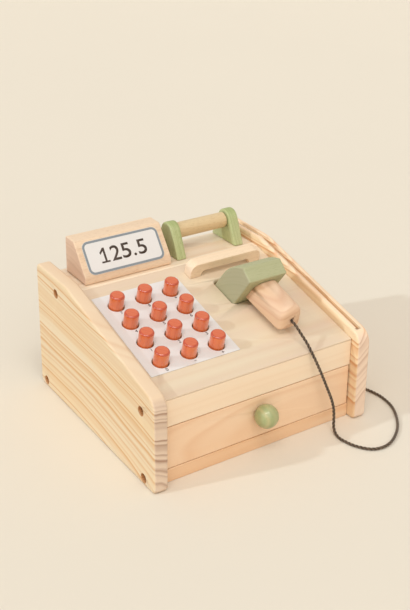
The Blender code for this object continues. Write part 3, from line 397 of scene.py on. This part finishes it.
def wood(name, pale, line, grain, heart, spacing, contrast=1.0, wobble=0.010, end=None,
         patch=None, edge=None, rim=None, roughness=0.52, pores=0.0, pore_colour=(150, 110, 75),
         coat=0.0, fibre=0.10, stretch=0.16, late=0.80):
    """Solid wood: growth rings round a heart that runs along the grain axis, with fibres.

    The pale colour turns into the line's colour at each ring's dark end, which starts at late, and
    into the patch's in places. end and edge hold the pale and the line colour of the end grain and
    of the faces that don't look along X; rim is the colour where an end face is rounded over."""
    paint = Paint(name, roughness)

    def streaks(across, along, detail, rough=0.5):
        """Noise drawn out along the grain."""
        scales = [across] * 3
        scales[grain] = along
        place = paint.vector("MULTIPLY", paint.place, tuple(scales))
        return paint.noise(place, 1.0, detail, rough).outputs[0]

    squeeze = [1.0, 1.0, 1.0]
    squeeze[grain] = stretch
    place = paint.vector("MULTIPLY", paint.place, tuple(squeeze))
    centre = tuple(h * s for h, s in zip(heart, squeeze))
    drift = paint.noise(place, 11.0, 3.0, 0.42).outputs["Color"]
    drift = paint.vector("SUBTRACT", drift, (0.5, 0.5, 0.5))
    drift = paint.vector("MULTIPLY", drift, (wobble, wobble, wobble))
    from_heart = paint.vector("SUBTRACT", paint.vector("ADD", place, drift), centre)
    radius = paint.vector("LENGTH", from_heart)
    uneven = paint.maths("MULTIPLY", paint.number_noise(radius, 0.42 / spacing, 1.0), 2.6)
    rings = paint.maths("ADD", paint.maths("DIVIDE", radius, spacing), uneven)
    stops = [(0.0, 0.0), (late * 0.55, 0.16), (late, 0.80), (late + 0.10, 1.0), (1.0, 0.0)]
    ring = paint.ramp(paint.maths("FRACT", rings), stops)
    year = paint.number_noise(paint.maths("FLOOR", rings), 0.77, 0.0)
    share = paint.maths("MULTIPLY", ring, paint.share(year, 0.20, 0.62, contrast))
    streak = streaks(620.0, 22.0, 3.0, 0.6)
    cloud = streaks(60.0, 5.0, 2.0)
    base = paint.mix(paint.wave(cloud, 0.35, 0.70), srgb(*pale), srgb(*(patch or pale)))
    shade = paint.mix(share, base, srgb(*line))
    shade = paint.mix(paint.share(streak, 0.50, 0.80, fibre), shade, srgb(*line))
    if pores:
        speck = streaks(1500.0, 190.0, 1.0)
        shade = paint.mix(paint.share(speck, 0.56, 0.70, pores), shade, srgb(*pore_colour))
    if edge:
        narrow = paint.mix(paint.maths("MULTIPLY", share, 0.5), srgb(*edge[0]), srgb(*edge[1]))
        shade = paint.mix(paint.wave(paint.facing((1, 0, 0)), 0.9, 0.5), shade, narrow)
    if end:
        axis = [0.0, 0.0, 0.0]
        axis[grain] = 1.0
        facing = paint.facing(tuple(axis))
        cut_face = paint.mix(paint.maths("MULTIPLY", share, 0.9), srgb(*end[0]), srgb(*end[1]))
        shade = paint.mix(paint.wave(facing, 0.55, 0.9), shade, cut_face)
        if rim:
            rounded = paint.maths("MULTIPLY", paint.wave(facing, 0.10, 0.45),
                                  paint.wave(facing, 0.995, 0.90))
            shade = paint.mix(paint.maths("MULTIPLY", rounded, 0.75), shade, srgb(*rim))
    paint.colour(shade)
    paint.rough(paint.maths("ADD", paint.maths("MULTIPLY", share, -0.08), roughness))
    height = paint.maths("ADD", paint.maths("MULTIPLY", share, 0.35),
                         paint.maths("MULTIPLY", streak, 0.4))
    paint.bump(height, 0.00012, 0.55)
    if coat:
        paint.surface.inputs["Coat Weight"].default_value = coat
        paint.surface.inputs["Coat Roughness"].default_value = 0.10
        paint.surface.inputs["Coat IOR"].default_value = 1.7
    return paint.material


def paper(name, colour):
    paint = Paint(name, 0.42)
    speck = paint.noise(paint.place, 900.0, 3.0).outputs[0]
    cloud = paint.noise(paint.place, 25.0, 2.0).outputs[0]
    base = srgb(*colour)
    darker = tuple(part * 0.93 for part in base)
    share = paint.maths("MULTIPLY", paint.maths("ADD", speck, cloud), 0.5)
    paint.colour(paint.mix(share, base, darker))
    paint.bump(speck, 0.00003, 0.4)
    return paint.material


def ink(name, colour):
    paint = Paint(name)
    speck = paint.noise(paint.place, 1400.0, 2.0).outputs[0]
    base = srgb(*colour)
    paler = tuple(part * 1.25 + 0.01 for part in base)
    paint.colour(paint.mix(paint.wave(speck, 0.45, 0.75), base, paler))
    return paint.material


def steel(name, dark, bright):
    paint = Paint(name, 0.34)
    paint.surface.inputs["Metallic"].default_value = 1.0
    speck = paint.noise(paint.place, 1100.0, 3.0).outputs[0]
    paint.colour(paint.mix(speck, srgb(*dark), srgb(*bright)))
    paint.rough(paint.maths("ADD", paint.maths("MULTIPLY", speck, 0.2), 0.25))
    return paint.material


def rope(name):
    """Dark twisted cord with paler specks; painted shade makes it darkest in the grooves between
    its strands.
    """
    paint = Paint(name, 0.85)
    fibre = paint.noise(paint.place, 1800.0, 3.0).outputs[0]
    cloud = paint.noise(paint.place, 160.0, 2.0).outputs[0]
    crown = paint.node("ShaderNodeAttribute", {}, attribute_name="crown").outputs["Fac"]
    # Painted shade: near black in the grooves between the strands, the cord's own brown on their
    # crowns.
    shade = paint.mix(paint.wave(crown, 0.35, 0.95), srgb(20, 14, 10), srgb(112, 90, 68))
    shade = paint.mix(paint.share(fibre, 0.35, 0.70, 0.4), shade, srgb(70, 55, 42))
    shade = paint.mix(paint.share(cloud, 0.45, 0.7, 0.4), shade, srgb(128, 106, 84))
    paint.colour(shade)
    paint.bump(fibre, 0.00015, 0.8)
    paint.surface.inputs["Sheen Weight"].default_value = 0.3
    return paint.material


def floor_paint(name):
    paint = Paint(name, 0.75)
    cloud = paint.noise(paint.place, 3.0, 3.0).outputs[0]
    darker = tuple(part * 0.985 for part in FLOOR_COLOUR)
    paint.colour(paint.mix(cloud, FLOOR_COLOUR, darker))
    return paint.material


X, Y, Z = 0, 1, 2
PINK_END = ((228, 204, 182), (158, 118, 94))
PINK_EDGE = ((234, 208, 178), (220, 180, 142))
SOFT_END = ((240, 214, 192), (206, 170, 144))
PALE_END = ((224, 192, 158), (196, 152, 112))

LEFT_PINE = wood("left_panel_pine", (233, 213, 183), (213, 161, 104), Y, (-0.175, 0.10, -0.09),
                 6.4 * MM, 1.0, 0.026, PINK_END, (233, 207, 169), PINK_EDGE, stretch=0.38,
                 late=0.62)
RIGHT_PINE = wood("right_panel_pine", (246, 222, 187), (213, 147, 90), Y, (0.22, 0.10, -0.04),
                  6.6 * MM, 0.95, 0.020, SOFT_END, (248, 215, 173),
                  ((248, 219, 187), (224, 146, 88)), stretch=0.30, late=0.66)
DECK_PINE = wood("deck_pine", (228, 211, 185), (217, 189, 156), X, (0.0, -0.30, 0.02), 17 * MM,
                 0.32, 0.03, PALE_END, (224, 201, 178), late=0.66)
SHELF_PINE = wood("shelf_pine", (242, 223, 200), (225, 191, 154), X, (0.0, 0.30, -0.02), 11 * MM,
                  0.5, 0.03, PALE_END, (244, 226, 202), late=0.66)
RAIL_PINE = wood("rail_pine", (246, 226, 200), (236, 206, 172), X, (0.0, -0.10, -0.30), 14 * MM,
                 0.28, 0.03, PALE_END, (246, 222, 194), late=0.66)
DRAWER_PINE = wood("drawer_pine", (244, 212, 180), (230, 184, 144), X, (0.05, -0.135, 0.02),
                   8 * MM, 0.50, 0.03, PALE_END, (241, 205, 170), stretch=0.22, late=0.6)
BASE_PINE = wood("base_pine", (240, 208, 176), (226, 182, 142), X, (0.0, -0.15, -0.12), 8 * MM,
                 0.4, 0.03, PALE_END, (234, 190, 148), late=0.6)
BOX_WOOD = wood("drawer_box_wood", (226, 196, 156), (204, 164, 118), X, (0.0, 0.0, -0.2), 8 * MM,
                0.5, 0.02, PALE_END)
DISPLAY_WOOD = wood("display_wood", (238, 211, 182), (215, 176, 140), X, (0.0, 0.12, -0.02),
                    7 * MM, 0.45, 0.016, ((215, 182, 159), (189, 153, 128)), (231, 204, 175),
                    pores=0.35, pore_colour=(192, 153, 124), late=0.6)
HANDLE_WOOD = wood("handle_wood", (236, 204, 178), (212, 166, 134), Y, (0.062, 0.0, 0.104),
                   4.5 * MM, 0.62, 0.016, ((226, 190, 158), (200, 154, 120)), (224, 186, 150),
                   stretch=0.26, late=0.6)
DOWEL_WOOD = wood("dowel_wood", (222, 196, 153), (200, 165, 119), X, (0.0, 0.14, 0.10), 5 * MM,
                  0.35, 0.01, PALE_END, (218, 192, 151), pores=0.25)
GUIDE_WOOD = wood("guide_wood", (246, 223, 195), (220, 188, 152), X, (0.0, 0.0, 0.02), 6 * MM,
                  0.35, 0.012, ((242, 219, 193), (213, 181, 150)), (240, 213, 182), pores=0.3,
                  pore_colour=(202, 169, 132))
PLYWOOD = wood("plywood", (222, 190, 150), (200, 160, 116), X, (0.0, 0.1, -0.6), 3 * MM, 0.4,
               0.008, ((206, 170, 128), (166, 122, 84)))
GREEN_STAIN = wood("green_stain", (185, 194, 140), (145, 157, 97), Z, (0.2, 0.1, 0.0), 3 * MM, 0.5,
                   0.008, ((168, 177, 120), (132, 146, 83)), (192, 196, 149), roughness=0.58,
                   pores=0.45, pore_colour=(128, 144, 81), late=0.55)
HEAD_STAIN = wood("head_stain", (181, 181, 142), (154, 156, 111), X, (0.0, -0.05, 0.05), 5 * MM,
                  0.3, 0.010, ((175, 173, 142), (147, 150, 113)), (175, 175, 137), roughness=0.6,
                  pores=0.35, pore_colour=(147, 152, 109), late=0.55)
KNOB_STAIN = wood("knob_stain", (164, 170, 120), (197, 184, 134), Z, (0.012, -0.12, 0.0), 4 * MM,
                  0.6, 0.006, None, (153, 161, 109), roughness=0.36, pores=0.2,
                  pore_colour=(133, 144, 89), coat=0.35, late=0.5)
RED_STAIN = wood("red_stain", (226, 108, 46), (204, 76, 28), Z, (0.3, 0.3, 0.0), 4 * MM, 0.45,
                 0.006, ((218, 104, 58), (196, 74, 34)), (230, 126, 68), rim=(180, 50, 18),
                 roughness=0.34, pores=0.35, pore_colour=(176, 60, 24), coat=0.8, late=0.5)
# Painted shade: darker wood for the linings inside the side screws' counterbores, where shade falls
# in the recess.
BORE_SHADE_WOOD = wood("bore_wood_painted_shade", (206, 152, 104), (160, 106, 64), X, (0.0, 0.0, 0.3), 3 * MM, 0.6,
                 0.01, ((190, 138, 92), (150, 98, 58)))
LABEL = paper("label_paper", (232, 229, 228))
BORDER_INK = ink("border_ink", (132, 140, 147))
AMOUNT_INK = ink("amount_ink", (66, 52, 44))
KEY_INK = ink("key_ink", (52, 48, 50))
STEEL = steel("zinc_plated_steel", (176, 170, 158), (205, 200, 190))
YELLOW_ZINC = steel("yellow_zinc_plated_steel", (170, 128, 78), (206, 164, 108))
ROPE = rope("brown_cord")

NODE_PAINT = {
    "left_side_panel": LEFT_PINE, "right_side_panel": RIGHT_PINE, "sloped_deck": DECK_PINE,
    "rear_shelf": SHELF_PINE, "front_rail": RAIL_PINE, "drawer_front": DRAWER_PINE,
    "base_board": BASE_PINE, "drawer_left": BOX_WOOD, "drawer_right": BOX_WOOD,
    "drawer_back": BOX_WOOD, "drawer_bottom": PLYWOOD, "back_board": PLYWOOD,
    "button_tray": PLYWOOD, "scanner_rest": PLYWOOD, "display_block": DISPLAY_WOOD,
    "scanner_handle": HANDLE_WOOD, "roll_spindle": DOWEL_WOOD, "paper_guide": GUIDE_WOOD,
    "roll_bracket_left": GREEN_STAIN, "roll_bracket_right": GREEN_STAIN,
    "scanner_head": HEAD_STAIN, "drawer_knob": KNOB_STAIN, "knob_screw": STEEL,
    "scanner_cord_upper": ROPE, "scanner_cord_lower": ROPE, "display_label": LABEL,
    "keypad_label": LABEL,
}


# ---------------------------------------------------------------- pieces

def finish_nodes():
    """Gives each CAD node its material and soft, rounded shading."""
    families = {"side_screw": YELLOW_ZINC, "button_spring": STEEL, "button": RED_STAIN}
    for name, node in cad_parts.items():
        paint = NODE_PAINT.get(name)
        if paint is None:
            paint = next(families[start] for start in families if name.startswith(start))
        node.data.materials.clear()
        node.data.materials.append(paint)
        weld = node.modifiers.new("weld", "WELD")
        weld.merge_threshold = 0.00001
        normals = node.modifiers.new("weighted_normals", "WEIGHTED_NORMAL")
        normals.weight = 60
        normals.keep_sharp = False


def mark_crowns(mesh, points):
    """Marks how far each point of the cord stands out of the grooves between its strands; the
    cord's paint sets its painted groove shade by this.
    """
    marks = mesh.attributes.new("crown", "FLOAT", "POINT")
    for index, mark in enumerate(marks.data):
        reach = (mesh.vertices[index].co - points[index // CORD_SIDES]).length
        mark.value = (reach / CORD_RADIUS - STRAND_GROOVE) / STRAND_DEPTH


def cords():
    """The scanner's cord: one twisted line in two lengths, which part at the deck's edge."""
    line = smooth_route(CORD_ROUTE, CORD_STEP)
    exit_point, parting = Vector(CORD_ROUTE[1]), Vector(CORD_ROUTE[CORD_SPLIT])
    split = min(range(len(line)), key=lambda index: (line[index] - parting).length)

    def strands(angle, length):
        twist = 2 * math.pi * length / STRAND_TURN
        crown = abs(math.cos(STRANDS / 2 * (angle - twist)))
        return CORD_RADIUS * (STRAND_GROOVE + STRAND_DEPTH * crown)

    for name, points, body, other, start, end, out in (
        ("cord_upper", line[:split + 1], "scanner", "case", exit_point, parting, exit_point),
        ("cord_lower", line[split:], "case", "drawer", parting, Vector(CORD_DRAWER_END),
         line[split]),
    ):
        mesh = swept(name, points, strands, CORD_SIDES, ROPE)
        mark_crowns(mesh, points)
        piece = add_object(name, mesh)
        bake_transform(piece)
        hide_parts("scanner_" + name)


def button_centres():
    """Each button's name and the middle of its hole, in the deck's frame."""
    centres = {}
    to_deck = deck_matrix().inverted()
    for number in range(1, 13):
        name = f"button_{number:02d}"
        low, high = (Vector(corner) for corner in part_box(name))
        middle = to_deck @ ((low + high) / 2)
        centres[name] = (middle.x, middle.y)
    return centres


def buttons():
    """Turned pegs with a rounded rim, a flange under the deck and a stem."""
    top = quarter(BUTTON_RADIUS - BUTTON_EDGE, BUTTON_HEIGHT - BUTTON_EDGE, BUTTON_EDGE, 90, 0, 8)
    foot = quarter(FLANGE_RADIUS - FLANGE_EDGE, FLANGE_TOP - FLANGE_EDGE, FLANGE_EDGE, 90, 0, 2)
    for name, (x, y) in button_centres().items():
        profile = [(0, BUTTON_HEIGHT), (BUTTON_RADIUS * 0.45, BUTTON_HEIGHT), *top,
                   (BUTTON_RADIUS, BUTTON_HEIGHT - 4 * MM), (BUTTON_RADIUS, FLANGE_TOP + 0.5 * MM),
                   (BUTTON_RADIUS, FLANGE_TOP), *foot, (FLANGE_RADIUS, FLANGE_BOTTOM),
                   (STEM_RADIUS, FLANGE_BOTTOM), (STEM_RADIUS, STEM_END), (0, STEM_END)]
        mesh = turned(name + "_peg", profile, 36, RED_STAIN)
        mesh.set_sharp_from_angle(angle=math.radians(50))
        place = deck_matrix() @ Matrix.Translation((x, y, 0))
        piece = add_object(name + "_peg", mesh, name, place)
        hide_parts(name)


def counterbore_shade_linings():
    """A lining round each side screw's head: wood whose darker colour is painted shade for the
    counterbore's recess.
    """
    turns = [2 * math.pi * step / LINING_SIDES for step in range(LINING_SIDES)]
    for screw in sorted(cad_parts):
        if not screw.startswith("side_screw"):
            continue
        name = screw + "_lining"
        low, high = (Vector(corner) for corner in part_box(screw))
        side = 1 if low.x > 0 else -1
        outside = side * (CASE_HALF_WIDTH - 0.15 * MM)
        inside = side * (CASE_HALF_WIDTH - COUNTERBORE_DEPTH + 0.1 * MM)
        middle = (low + high) / 2
        line = [Vector((outside + (inside - outside) * step / LINING_STEPS, middle.y, middle.z))
                for step in range(LINING_STEPS + 1)]
        outer = COUNTERBORE_RADIUS - LINING_GAP
        points, faces = [], []
        for reach, stations in ((outer, line), (outer - LINING_THICKNESS, line[::-1])):
            for point in stations:
                points.extend(point + Vector((0, reach * math.cos(angle), reach * math.sin(angle)))
                              for angle in turns)
        rings = len(points) // LINING_SIDES
        for ring in range(rings):
            here, after = ring * LINING_SIDES, (ring + 1) % rings * LINING_SIDES
            for step in range(LINING_SIDES):
                near = (step + 1) % LINING_SIDES
                faces.append((here + step, here + near, after + near, after + step))
        add_object(name, mesh_from(name, points, faces, BORE_SHADE_WOOD), "case")


def springs():
    """A coil round each button's stem, drawn at its resting length."""
    steps = SPRING_TURNS * SPRING_STEPS
    height = SPRING_TOP - SPRING_FLOOR - 2 * SPRING_WIRE
    line = []
    for step in range(steps + 1):
        angle = 2 * math.pi * step / SPRING_STEPS
        line.append(Vector((SPRING_RADIUS * math.cos(angle), SPRING_RADIUS * math.sin(angle),
                            SPRING_FLOOR + SPRING_WIRE + height * step / steps)))
    for button, (x, y) in button_centres().items():
        number = button[-2:]
        name = f"button_coil_{number}"
        place = deck_matrix() @ Matrix.Translation((x, y, 0))
        mesh = swept(name, line, lambda angle, length: SPRING_WIRE, 6, STEEL)
        piece = add_object(name, mesh, "case", place)
        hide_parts(f"button_spring_{number}")
        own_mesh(piece)


def footed_one(width, height, stroke):
    """The outline of a figure one with a flag and a foot, as points and faces about its middle."""
    left, right, low, high = -width / 2, width / 2, -height / 2, height / 2
    stem = 0.06 * width
    foot = low + 0.8 * stroke
    points = [(left, low, 0), (right, low, 0), (right, foot, 0), (stem + stroke / 2, foot, 0),
              (stem + stroke / 2, high, 0), (stem - stroke * 0.45, high, 0),
              (left, high - 2.1 * stroke, 0), (left + 0.35 * stroke, high - 2.95 * stroke, 0),
              (stem - stroke / 2, high - 1.45 * stroke, 0), (stem - stroke / 2, foot, 0),
              (left, foot, 0)]
    return points, [tuple(range(len(points)))]


def printed(name, mesh, matrix):
    """A flat mesh as print: a thin raised layer on the case."""
    piece = add_object(name, mesh, "case", matrix)
    body = piece.modifiers.new("thickness", "SOLIDIFY")
    body.thickness = PRINT_THICKNESS
    body.offset = 1.0


def lettering(name, words, width, height, matrix, paint):
    """Flat raised print of the given height; its width too is fitted where one is given."""
    curve = bpy.data.curves.new(name, "FONT")
    curve.body = words
    curve.align_x = "CENTER"
    curve.align_y = "CENTER"
    curve.size = 1.0
    curve.offset = 0.010
    curve.materials.append(paint)
    obj = add_object(name, curve)
    bpy.context.view_layer.update()
    stretch = width / obj.dimensions.x if width else height / obj.dimensions.y
    tall = height / obj.dimensions.y
    mesh = bpy.data.meshes.new_from_object(obj)
    bpy.data.objects.remove(obj)
    low = Vector([min(vertex.co[axis] for vertex in mesh.vertices) for axis in range(3)])
    high = Vector([max(vertex.co[axis] for vertex in mesh.vertices) for axis in range(3)])
    mesh.transform(Matrix.Diagonal((stretch, tall, 1, 1)) @ Matrix.Translation(-(low + high) / 2))
    printed(name, mesh, matrix)


def rounded_box(width, height, radius, steps=8):
    """A rectangle's outline with rounded corners, with the given steps round each corner."""
    points = []
    for corner in range(4):
        side_x = 1 if corner in (0, 3) else -1
        side_y = 1 if corner in (0, 1) else -1
        centre = (side_x * (width / 2 - radius), side_y * (height / 2 - radius))
        for step in range(steps + 1):
            angle = math.pi / 2 * (corner + step / steps)
            points.append((centre[0] + radius * math.cos(angle),
                           centre[1] + radius * math.sin(angle), 0))
    return points


def display_print():
    """The blue-grey border and the amount on the display's label."""
    low, high = (Vector(corner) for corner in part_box("display_label"))
    middle = (low + high) / 2
    normal = Vector((0, -math.sin(DISPLAY_LEAN), math.cos(DISPLAY_LEAN)))
    width = high.x - low.x
    height = (high.y - low.y - LABEL_THICKNESS * math.sin(DISPLAY_LEAN)) / math.cos(DISPLAY_LEAN)
    turn = Matrix.Rotation(DISPLAY_LEAN, 4, "X")
    face = Matrix.Translation(middle + normal * (LABEL_THICKNESS / 2 + PRINT_LIFT)) @ turn
    outer = rounded_box(width - 2 * BORDER_INSET, height - 2 * BORDER_INSET,
                        LABEL_RADIUS - BORDER_INSET)
    inner = rounded_box(width - 2 * BORDER_WIDTH, height - 2 * BORDER_WIDTH,
                        LABEL_RADIUS - BORDER_WIDTH)
    count = len(outer)
    faces = [(step, (step + 1) % count, count + (step + 1) % count, count + step)
             for step in range(count)]
    printed("display_border", mesh_from("display_border", outer + inner, faces, BORDER_INK, False),
            face)
    for number, (glyph, left, right) in enumerate(AMOUNT_GLYPHS, 1):
        wide = (right - left) * MM
        tall = wide if glyph == "." else AMOUNT_HEIGHT
        across = AMOUNT_START + (left + right) / 2 * MM
        place = face @ Matrix.Translation((across, (tall - AMOUNT_HEIGHT) / 2, 0))
        name = f"display_figure_{number}"
        if glyph == "1":
            points, faces = footed_one(wide, AMOUNT_HEIGHT, AMOUNT_STROKE)
            printed(name, mesh_from(name, points, faces, AMOUNT_INK, False), place)
        else:
            lettering(name, glyph, wide, tall, place, AMOUNT_INK)


def key_print():
    """A small character below each button."""
    for (button, (x, y)), mark in zip(button_centres().items(), KEY_MARKS):
        width, height = KEY_MARK_SIZES.get(mark, (None, KEY_TEXT_HEIGHT))
        place = deck_matrix() @ Matrix.Translation((x + KEY_TEXT_SHIFT, y - KEY_TEXT_DROP,
                                                    KEYPAD_TOP + PRINT_LIFT))
        lettering(button + "_mark", mark, width, height, place, KEY_INK)


def floor():
    """A wide pale floor that curves up into a low wall far behind the object."""
    wall = FLOOR_RADIUS + FLOOR_CURVE + 0.1
    profile = [(0, 0), (FLOOR_RADIUS * 0.5, 0), (FLOOR_RADIUS, 0)]
    profile += quarter(FLOOR_RADIUS, FLOOR_CURVE, FLOOR_CURVE, -90, -10, 10)
    profile += [(wall, WALL_HEIGHT), (wall + 0.1, WALL_HEIGHT), (wall + 0.1, -0.05), (0, -0.05)]
    mesh = turned("floor", profile, 96, floor_paint("floor"))
    add_object("floor", mesh, matrix=Matrix.Translation((0, 0, -FLOOR_DROP)))


def lights():
    for name, travel, strength, colour, angle in (
        ("key_light", SUN_TRAVEL, SUN_STRENGTH, SUN_COLOUR, SUN_ANGLE),
        ("fill_light", FILL_TRAVEL, FILL_STRENGTH, FILL_COLOUR, FILL_ANGLE),
        ("top_light_1", TOP_TRAVELS[0], TOP_STRENGTH, FILL_COLOUR, TOP_ANGLE),
        ("top_light_2", TOP_TRAVELS[1], TOP_STRENGTH, FILL_COLOUR, TOP_ANGLE),
    ):
        data = bpy.data.lights.new(name, "SUN")
        data.energy, data.color, data.angle = strength, colour, angle
        sun = add_object(name, data)
        sun.rotation_euler = Vector(travel).to_track_quat("-Z", "Y").to_euler()
    world = bpy.data.worlds.new("studio")
    world.use_nodes = True
    sky = world.node_tree.nodes["Background"]
    sky.inputs["Color"].default_value = (*SKY_COLOUR, 1.0)
    sky.inputs["Strength"].default_value = SKY_STRENGTH
    bpy.context.scene.world = world
    bpy.context.scene.view_settings.view_transform = "Standard"


camera()
cords()
finish_nodes()
buttons()
springs()
counterbore_shade_linings()
display_print()
key_print()
floor()
lights()
